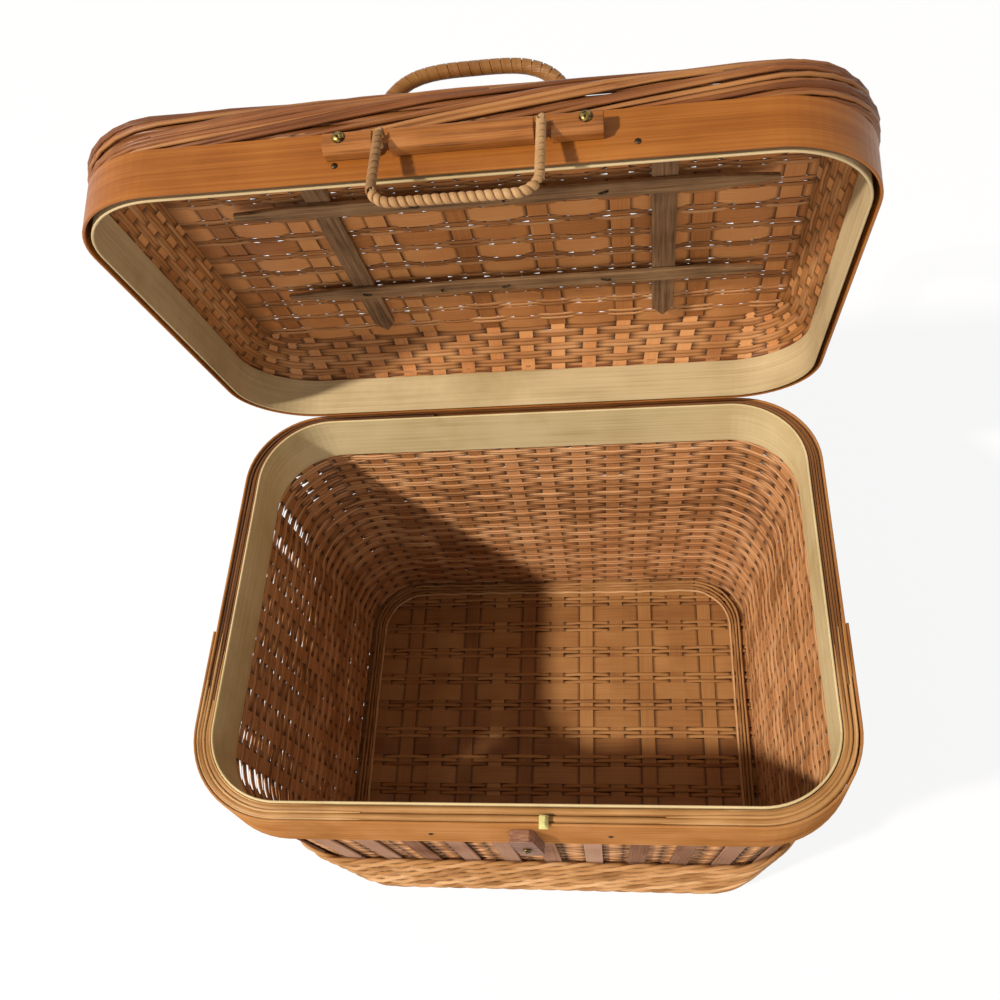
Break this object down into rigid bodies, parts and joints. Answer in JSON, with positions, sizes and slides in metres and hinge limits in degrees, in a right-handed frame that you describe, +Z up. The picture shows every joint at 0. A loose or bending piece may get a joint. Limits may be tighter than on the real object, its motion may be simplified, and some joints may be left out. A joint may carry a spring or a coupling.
{
  "type": "wicker picnic basket",
  "caption": "Rectangular wicker picnic basket with a hinged lid, a wound carrying handle, and a cane loop with a wooden turn button as its closure.",
  "frame": {"origin": "centre of the woven floor's underside, where the basket stands", "axes": "+Z up, +Y towards the hinge, +X to the right seen from the front"},
  "size_m": [0.4694, 0.4306, 0.652],
  "materials": {
    "woven_splint": "flat woven splint, satin",
    "woven_reed": "woven round reed, satin",
    "border_reed": "stained reed, satin",
    "pale_veneer": "bare pale veneer, matt",
    "orange_lath": "varnished orange-brown lath, semi-gloss",
    "rim_cane": "peeled cane, satin",
    "weathered_batten": "grey-brown sawn wood, matt",
    "closure_wood": "varnished moulded wood, semi-gloss",
    "button_wood": "dark brown wood, matt",
    "pale_wedge": "pale split wood, matt",
    "handle_cane": "glossy flat cane",
    "loop_cane": "twisted cane, satin",
    "hinge_cane": "cane, satin",
    "brass_screw": "aged brass screw head",
    "iron_fastener": "small dark iron nail"
  },
  "bodies": {
    "basket": {"base_floor": "woven_splint", "base_wall": "woven_reed", "foot_border": "border_reed", "base_inner_band": "pale_veneer", "base_outer_band_front": "orange_lath", "base_outer_band_rear": "orange_lath", "rim_cane_inner": "rim_cane", "rim_cane_outer": "rim_cane", "rim_wedge": "pale_wedge", "button_screw": "brass_screw", "base_nail_1": "iron_fastener", "base_nail_2": "iron_fastener", "hinge_strap_left": "hinge_cane", "hinge_strap_right": "hinge_cane"},
    "lid": {"lid_panel": "woven_splint", "lid_wall": "woven_reed", "lid_border": "border_reed", "lid_inner_band": "pale_veneer", "lid_outer_band": "orange_lath", "lid_nail_1": "iron_fastener", "lid_nail_2": "iron_fastener", "lid_batten_front": "weathered_batten", "lid_batten_rear": "weathered_batten", "lid_cross_batten_left": "weathered_batten", "lid_cross_batten_right": "weathered_batten", "batten_nail_front_1": "iron_fastener", "batten_nail_front_2": "iron_fastener", "batten_nail_front_3": "iron_fastener", "batten_nail_rear_1": "iron_fastener", "batten_nail_rear_2": "iron_fastener", "batten_nail_rear_3": "iron_fastener", "batten_nail_rear_4": "iron_fastener", "handle_core": "handle_cane", "handle_wrap": "handle_cane", "closure_batten": "closure_wood", "closure_screw_left": "brass_screw", "closure_screw_right": "brass_screw", "hinge_pin_left": "hinge_cane", "hinge_pin_right": "hinge_cane", "lid_eye_left_outer": "hinge_cane", "lid_eye_left_inner": "hinge_cane", "lid_eye_right_outer": "hinge_cane", "lid_eye_right_inner": "hinge_cane"},
    "closure_loop": {"closure_loop": "loop_cane", "closure_loop_wrap": "loop_cane"},
    "turn_button": {"turn_button": "button_wood"}
  },
  "joints": [
    {"name": "lid_hinge", "type": "hinge", "parent": "basket", "child": "lid", "pos_m": [0, 0.1716, 0.31], "axis": [-1, 0, 0], "range_deg": [-75, 30]},
    {"name": "closure_loop_swing", "type": "hinge", "parent": "lid", "child": "closure_loop", "pos_m": [0.0085, 0.08453, 0.64498], "axis": [-1, 0, 0], "range_deg": [0, 120]},
    {"name": "button_turn", "type": "hinge", "parent": "basket", "child": "turn_button", "pos_m": [0.009, -0.176, 0.262], "axis": [0, -1, 0], "continuous": true}
  ]
}
